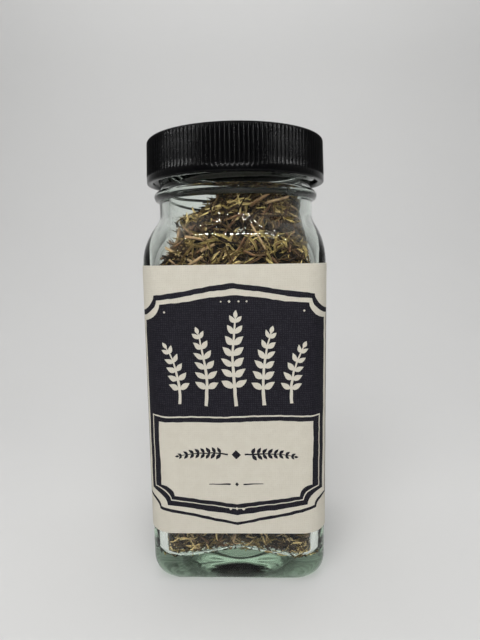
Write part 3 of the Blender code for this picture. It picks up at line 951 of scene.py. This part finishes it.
def herb_material(name, stops, rough, scale):
    """Dry leaf or twig: its own tone from piece to piece, mottled and finely wrinkled."""
    material, tree, shader = new_material(name, stops[len(stops) // 2][1], rough)
    shader.inputs["Specular IOR Level"].default_value = 0.1
    tone = node(tree, "ShaderNodeAttribute", attribute_name="tone")
    colours = ramp(tree, tone.outputs["Fac"], stops)
    mottle = use_group(tree, MOTTLE, {"Scale": scale, "Amount": 0.75, "Light": (1.18, 1.16, 1.1, 1),
                                      "Dark": (0.52, 0.45, 0.36, 1)})
    grain = use_group(tree, GRAIN, {"Scale": 2600.0, "Depth": 0.00006, "Smooth": rough - 0.15, "Rough": rough + 0.1})
    shade = node(tree, "ShaderNodeMix", {"Factor": 1.0}, data_type="RGBA", blend_type="MULTIPLY")
    # Rim attribute: painted highlight on leaf rims and painted shade along a leaf's middle; pale streaks on stems.
    rim = node(tree, "ShaderNodeAttribute", attribute_name="rim")
    pale = node(tree, "ShaderNodeMapRange", {"To Min": 0.45, "To Max": 1.45})
    rim_lit_and_groove_shaded = node(tree, "ShaderNodeMix", {"Factor": 1.0}, data_type="RGBA", blend_type="MULTIPLY")
    link = tree.links.new
    link(colours, shade.inputs["A"])
    link(mottle.outputs["Color"], shade.inputs["B"])
    link(rim.outputs["Fac"], pale.inputs["Value"])
    link(shade.outputs["Result"], rim_lit_and_groove_shaded.inputs["A"])
    link(pale.outputs["Result"], rim_lit_and_groove_shaded.inputs["B"])
    link(rim_lit_and_groove_shaded.outputs["Result"], shader.inputs["Base Color"])
    link(grain.outputs["Roughness"], shader.inputs["Roughness"])
    link(grain.outputs["Normal"], shader.inputs["Normal"])
    return material


def wall_places(draw, count, low, high, depth):
    """Places against the glass, below the heap's top: point, outward direction and lie."""
    angle, z, half, corner, radius = (np.zeros(0) for _ in range(5))
    while len(angle) < count:
        side = draw.integers(0, 4, 4 * count) * (math.pi / 2)
        tries = side + np.arctan(draw.uniform(-1, 1, 4 * count))
        heights = draw.uniform(low, high, 4 * count)
        halves, corners = wall_arrays(heights)
        reach = np.array([section_radius(a, h, c) for a, h, c in zip(tries, halves, corners)])
        x, y = reach * np.cos(tries), reach * np.sin(tries)
        under = heights < np.array([heap_z(a, b) for a, b in zip(x, y)]) + 0.0004
        above = heights > np.array([floor_z(a, b) for a, b in zip(x, y)]) + 0.0003
        kept = under & above
        angle, z = np.append(angle, tries[kept]), np.append(z, heights[kept])
        half, corner = np.append(half, halves[kept]), np.append(corner, corners[kept])
        radius = np.append(radius, reach[kept])
    angle, z, half, corner, radius = (a[:count] for a in (angle, z, half, corner, radius))
    step = 0.01
    beside = np.array([section_radius(a + step, h, c) for a, h, c in zip(angle, half, corner)])
    upper = np.array([section_radius(a, *inside_shape(t + 0.0004)) for a, t in zip(angle, z)])
    here = np.stack([radius * np.cos(angle), radius * np.sin(angle), z], 1)
    there = np.stack([beside * np.cos(angle + step), beside * np.sin(angle + step), z], 1)
    over = np.stack([upper * np.cos(angle), upper * np.sin(angle), z + 0.0004], 1)
    level = unit(there - here)
    rise = unit(over - here)
    outward = unit(np.cross(level, rise))
    here -= outward * (0.00035 + draw.exponential(depth, count))[:, None]
    slant = draw.normal(0, 0.95, count)
    line = level * np.cos(slant)[:, None] + rise * np.sin(slant)[:, None]
    return here, outward, unit(line)


def heap_places(draw, count, depth, lift):
    """Places and directions over the heap's top, mostly lying down."""
    found = []
    while len(found) < count:
        x, y = draw.uniform(-0.019, 0.019, 2)
        z = heap_z(x, y) + draw.uniform(-depth, lift)
        if wall_distance(np.array([[x, y, z]]))[0] > 0.0008 and z > 0.072:
            found.append((x, y, z))
    here = np.array(found)
    slope = np.stack([2 * HEAP_FALL_X * (here[:, 0] - HEAP_PEAK.x), 2 * HEAP_FALL_Y * here[:, 1],
                      np.ones(count)], 1)
    up = unit(slope + draw.normal(0, 0.35, (count, 3)))
    line = unit(np.cross(up, draw.normal(0, 1, (count, 3))))
    return here, up, line


def floor_places(draw, count):
    """Places over the jar's floor, lying down."""
    x, y = draw.uniform(-0.018, 0.018, (2, count))
    z = np.array([floor_z(a, b) for a, b in zip(x, y)]) + draw.uniform(0.0004, 0.0012, count)
    down = unit(np.array([0, 0, -1.0]) + draw.normal(0, 0.25, (count, 3)))
    return np.stack([x, y, z], 1), down, unit(np.cross(down, draw.normal(0, 1, (count, 3))))


def keep_inside(points, margin):
    """Shifts each swept body inwards until it clears the glass by the margin."""
    flat = points.reshape(len(points), -1, 3)
    for attempt in range(3):
        clear = np.min([wall_distance(flat[:, k]) for k in range(0, flat.shape[1], 3)], axis=0)
        middle = flat.mean(1)
        inward = -unit(middle * np.array([1, 1, 0]))
        push = np.maximum(margin - clear, 0)
        flat = flat + (inward * push[:, None])[:, None, :]
    lowest = flat[:, :, 2].min(1)
    middle = flat.mean(1)
    floor = np.array([floor_z(x, y) for x, y in middle[:, :2]]) + 0.0002
    flat = flat + np.maximum(floor - lowest, 0)[:, None, None] * np.array([0, 0, 1.0])
    return flat.reshape(points.shape)


LEAF_TAPER = np.array([0.35, 0.85, 1.0, 0.98, 0.88, 0.60, 0.12])
STEM_TAPER = np.array([0.95, 1.0, 0.96, 1.02, 0.97, 1.0, 0.9])


def lay_leaves(name, draw, places, longest, widest, brightest, material):
    """Curled, rolled-edged leaves at the given places, in one piece."""
    here, facing, line = places
    count = len(here)
    length = draw.uniform(0.4, 1.0, count) * longest
    width = draw.uniform(0.5, 1.0, count) ** 1.3 * widest
    flip = np.where(draw.uniform(0, 1, count) < 0.45, -1.0, 1.0)
    roll = draw.normal(0, 0.6, count)
    across = np.cross(line, facing)
    facing = unit(facing * np.cos(roll)[:, None] + across * np.sin(roll)[:, None]) * flip[:, None]
    points = sweep(here, line, facing, length, width, draw.uniform(-0.9, 0.9, count),
                   draw.uniform(-0.35, 0.35, count), LEAF_SECTION, LEAF_TAPER, 7, draw)
    points = keep_inside(points, 0.0002)
    return swept_piece(name, points, brightest * draw.uniform(0, 1, count) ** 1.5, LEAF_RIM_LIGHT_AND_GROOVE_SHADE, material)


def lay_stems(name, draw, places, longest, material):
    """Bits of bare stem at the given places, in one piece."""
    here, facing, line = places
    count = len(here)
    length = draw.uniform(0.4, 1.0, count) * longest
    width = draw.uniform(0.00035, 0.0008, count)
    points = sweep(here, line, facing, length, width, draw.uniform(-0.25, 0.25, count),
                   draw.uniform(-0.12, 0.12, count), STEM_SECTION, STEM_TAPER, 7, draw)
    points = keep_inside(points, 0.0002)
    return swept_piece(name, points, draw.uniform(0, 1, count), STEM_RIMS, material)


def make_core():
    """The mass of packed herb behind the leaves that show, near black as painted shade for the depths between the
    leaves.
    """
    angles = section_angles(20)
    inset = 0.0022
    rings = []
    half, corner = inside_shape(0.04)
    for share in (0.3, 0.6, 0.85):
        ring = []
        for angle in angles:
            radius = (section_radius(angle, half, corner) - inset) * share
            x, y = radius * math.cos(angle), radius * math.sin(angle)
            ring.append(Vector((x, y, floor_z(x, y) + 0.0010)))
        rings.append(ring)
    levels = 40
    tops = []
    for angle in angles:
        z = HEAP_PEAK.z
        while z > 0.06:
            radius = section_radius(angle, *inside_shape(z)) - inset
            if heap_z(radius * math.cos(angle), radius * math.sin(angle)) - 0.0016 >= z:
                break
            z -= 0.0002
        tops.append(z)
    for level in range(levels + 1):
        ring = []
        for angle, top in zip(angles, tops):
            edge = section_radius(angle, half, corner) - inset
            low = floor_z(edge * math.cos(angle), edge * math.sin(angle)) + 0.0014
            z = low + (top - low) * level / levels
            radius = section_radius(angle, *inside_shape(z)) - inset
            radius += 0.0005 * noise.noise(Vector((math.cos(angle) * 9, math.sin(angle) * 9, z * 500)))
            ring.append(Vector((radius * math.cos(angle), radius * math.sin(angle), z)))
        rings.append(ring)
    rim = rings[-1]
    for share in (0.85, 0.7, 0.55, 0.4, 0.25, 0.1):
        ring = []
        for point in rim:
            x, y = point.x * share, point.y * share
            ring.append(Vector((x, y, heap_z(x, y) - 0.0016 + 0.0006 * noise.noise(Vector((x * 400, y * 400, 0))))))
        rings.append(ring)
    points, faces = turned_mesh(rings, Vector((0, 0, floor_z(0, 0) + 0.0010)), Vector((0, 0, heap_z(0, 0) - 0.0016)))
    # Near-black herb colour: painted shade for the depths between the leaves.
    stops = ((0.0, (0.012, 0.009, 0.005)), (1.0, (0.03, 0.022, 0.01)))
    material = herb_material("packed_herb_painted_shade", stops, 0.9, 700.0)
    core = mesh_piece("packed_thyme", points, faces, material, "jar")
    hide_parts("thyme_fill")
    return core


def make_thyme():
    draw = np.random.default_rng(24)
    leaf_stops = ((0.0, (0.010, 0.005, 0.0025)), (0.25, (0.038, 0.019, 0.008)), (0.48, (0.075, 0.046, 0.016)),
                  (0.70, (0.155, 0.112, 0.038)), (0.88, (0.31, 0.235, 0.095)), (1.0, (0.54, 0.41, 0.21)))
    stem_stops = ((0.0, (0.045, 0.022, 0.012)), (0.5, (0.125, 0.066, 0.036)), (1.0, (0.28, 0.19, 0.115)))
    leaf = herb_material("dry_leaf", leaf_stops, 0.66, 420.0)
    twig = herb_material("dry_twig", stem_stops, 0.74, 600.0)
    make_core()
    wall, heap = wall_places, heap_places
    leaves = [
        lay_leaves("leaves_at_shoulder", draw, wall(draw, 1300, 0.0765, 0.0975, 0.0013), 0.0085, 0.00074, 1.0, leaf),
        lay_leaves("leaves_on_heap", draw, heap(draw, 1500, 0.0024, 0.0012), 0.0088, 0.00074, 1.0, leaf),
        lay_leaves("crumbs_at_shoulder", draw, wall(draw, 700, 0.0765, 0.0970, 0.0010), 0.0036, 0.00055, 0.5, leaf),
        # Base leaves take a lighter tone range (up to 1.5): painted light, lifting them out of the shade below the
        # label.
        lay_leaves("leaves_at_base", draw, wall(draw, 1800, 0.0050, 0.0175, 0.0008), 0.0048, 0.00056, 1.5, leaf),
        lay_leaves("crumbs_at_base", draw, wall(draw, 1400, 0.0050, 0.0170, 0.0007), 0.0024, 0.00045, 0.6, leaf),
        lay_leaves("leaves_on_floor", draw, floor_places(draw, 1300), 0.0044, 0.00062, 0.9, leaf),
    ]
    stems = [
        lay_stems("twigs_at_shoulder", draw, wall(draw, 120, 0.0765, 0.0965, 0.0010), 0.0070, twig),
        lay_stems("twigs_on_heap", draw, heap(draw, 130, 0.0015, 0.0012), 0.0090, twig),
        lay_stems("twigs_at_base", draw, wall(draw, 150, 0.0055, 0.017, 0.0006), 0.0045, twig),
    ]
    loose = sorted(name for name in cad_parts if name.startswith("leaf_"))
    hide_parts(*loose)
    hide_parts(*sorted(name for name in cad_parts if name.startswith("stem_")))


# Stage: floor sweep, lights and camera

def make_stage():
    material, tree, shader = new_material("pale_sweep", (0.67, 0.67, 0.665), 0.7)
    colour = use_group(tree, MOTTLE, {"Scale": 6.0, "Amount": 0.3, "Light": (0.68, 0.68, 0.675, 1),
                                      "Dark": (0.64, 0.64, 0.635, 1)})
    tree.links.new(colour.outputs["Color"], shader.inputs["Base Color"])
    points, faces = [], []
    profile = [(-0.9, -0.0001), (0.10, -0.0001)]
    bend = 0.28
    for step in range(1, 25):
        turn = math.radians(90) * step / 24
        profile.append((0.10 + bend * math.sin(turn), bend * (1 - math.cos(turn)) - 0.0001))
    profile.append((0.10 + bend, 1.1))
    for x in (-0.9, 0.9):
        points += [(x, y, z) for y, z in profile]
    for k in range(len(profile) - 1):
        faces.append((k, k + 1, len(profile) + k + 1, len(profile) + k))
    mesh = bpy.data.meshes.new("sweep")
    mesh.from_pydata(points, [], [tuple(reversed(f)) for f in faces])
    mesh.shade_smooth()
    mesh.materials.append(material)
    sweep_object = bpy.data.objects.new("sweep", mesh)
    bpy.context.scene.collection.objects.link(sweep_object)


def area_light(name, at, target, size_x, size_y, power, soft):
    """A rectangular lamp. A soft one fills the set without showing in gloss or through glass."""
    lamp = bpy.data.lights.new(name, "AREA")
    lamp.shape = "RECTANGLE"
    lamp.size, lamp.size_y = size_x, size_y
    lamp.energy = power
    holder = bpy.data.objects.new(name, lamp)
    bpy.context.scene.collection.objects.link(holder)
    holder.location = at
    holder.rotation_euler = (Vector(target) - Vector(at)).to_track_quat("-Z", "Y").to_euler()
    holder.visible_glossy = not soft
    holder.visible_transmission = not soft
    return holder


def make_lights():
    """A big soft lamp above the front, a row of small bright ones, and a room dim in front and pale above."""
    world = bpy.data.worlds.new("studio")
    bpy.context.scene.world = world
    world.use_nodes = True
    tree = world.node_tree
    place = node(tree, "ShaderNodeTexCoord")
    split = node(tree, "ShaderNodeSeparateXYZ")
    upward = node(tree, "ShaderNodeMapRange", {"From Min": 0.0, "From Max": 0.9, "To Min": 0.26, "To Max": 0.50},
                  interpolation_type="SMOOTHSTEP")
    backward = node(tree, "ShaderNodeMapRange", {"From Min": -0.95, "From Max": -0.2, "To Min": 0.08, "To Max": 1.0},
                    interpolation_type="SMOOTHSTEP")
    path = node(tree, "ShaderNodeLightPath")
    through = node(tree, "ShaderNodeMath", operation="MAXIMUM")
    strength = node(tree, "ShaderNodeMath", operation="MULTIPLY")
    pale = node(tree, "ShaderNodeMix", {"B": 0.62}, data_type="FLOAT")
    link = tree.links.new
    link(place.outputs["Generated"], split.inputs[0])
    link(split.outputs["Z"], upward.inputs["Value"])
    link(split.outputs["Y"], backward.inputs["Value"])
    link(backward.outputs["Result"], through.inputs[0])
    link(path.outputs["Is Transmission Ray"], through.inputs[1])
    link(upward.outputs["Result"], strength.inputs[0])
    link(through.outputs[0], strength.inputs[1])
    link(strength.outputs[0], pale.inputs["A"])
    link(path.outputs["Is Camera Ray"], pale.inputs["Factor"])
    link(pale.outputs["Result"], tree.nodes["Background"].inputs["Strength"])
    tree.nodes["Background"].inputs["Color"].default_value = (1.0, 0.995, 0.98, 1)
    area_light("key_soft", (-0.03, -0.35, 0.45), (0, 0, 0.03), 0.45, 0.40, 2.45, True)
    area_light("wall_soft", (0.0, 0.10, 0.64), (0, 0.38, 0.42), 0.6, 0.2, 1.15, True)
    for k in range(132):
        row, place = divmod(k, 44)
        at = ((place - 21.5) * 0.008 - 0.004, -0.42, (0.262, 0.39, 0.57)[row])
        bead = area_light(f"bead_{k + 1}", at, (0, 0, 0.09), 0.0052, 0.0052, 0.02, False)
        bead.visible_diffuse = False


def make_camera():
    lens = bpy.data.cameras.new("camera")
    lens.sensor_width = 36.0
    lens.lens = 27.34
    lens.clip_start = 0.005
    holder = bpy.data.objects.new("camera", lens)
    bpy.context.scene.collection.objects.link(holder)
    pitch, yaw, roll = 0.1303, -0.0342, -0.0159
    forward = Vector((math.sin(yaw) * math.cos(pitch), math.cos(yaw) * math.cos(pitch), -math.sin(pitch)))
    right = Vector((math.cos(yaw), -math.sin(yaw), 0))
    up = right.cross(forward)
    level_right = math.cos(roll) * right + math.sin(roll) * up
    level_up = -math.sin(roll) * right + math.cos(roll) * up
    turn = Matrix((level_right, level_up, -forward)).transposed().to_4x4()
    holder.matrix_world = Matrix.Translation((0.00524, -0.1339, 0.08103)) @ turn
    bpy.context.scene.camera = holder


make_camera()
make_stage()
make_lights()
bpy.context.scene.view_settings.view_transform = "Standard"
make_jar()
make_cap()
finish_liner()
make_label()
make_thyme()
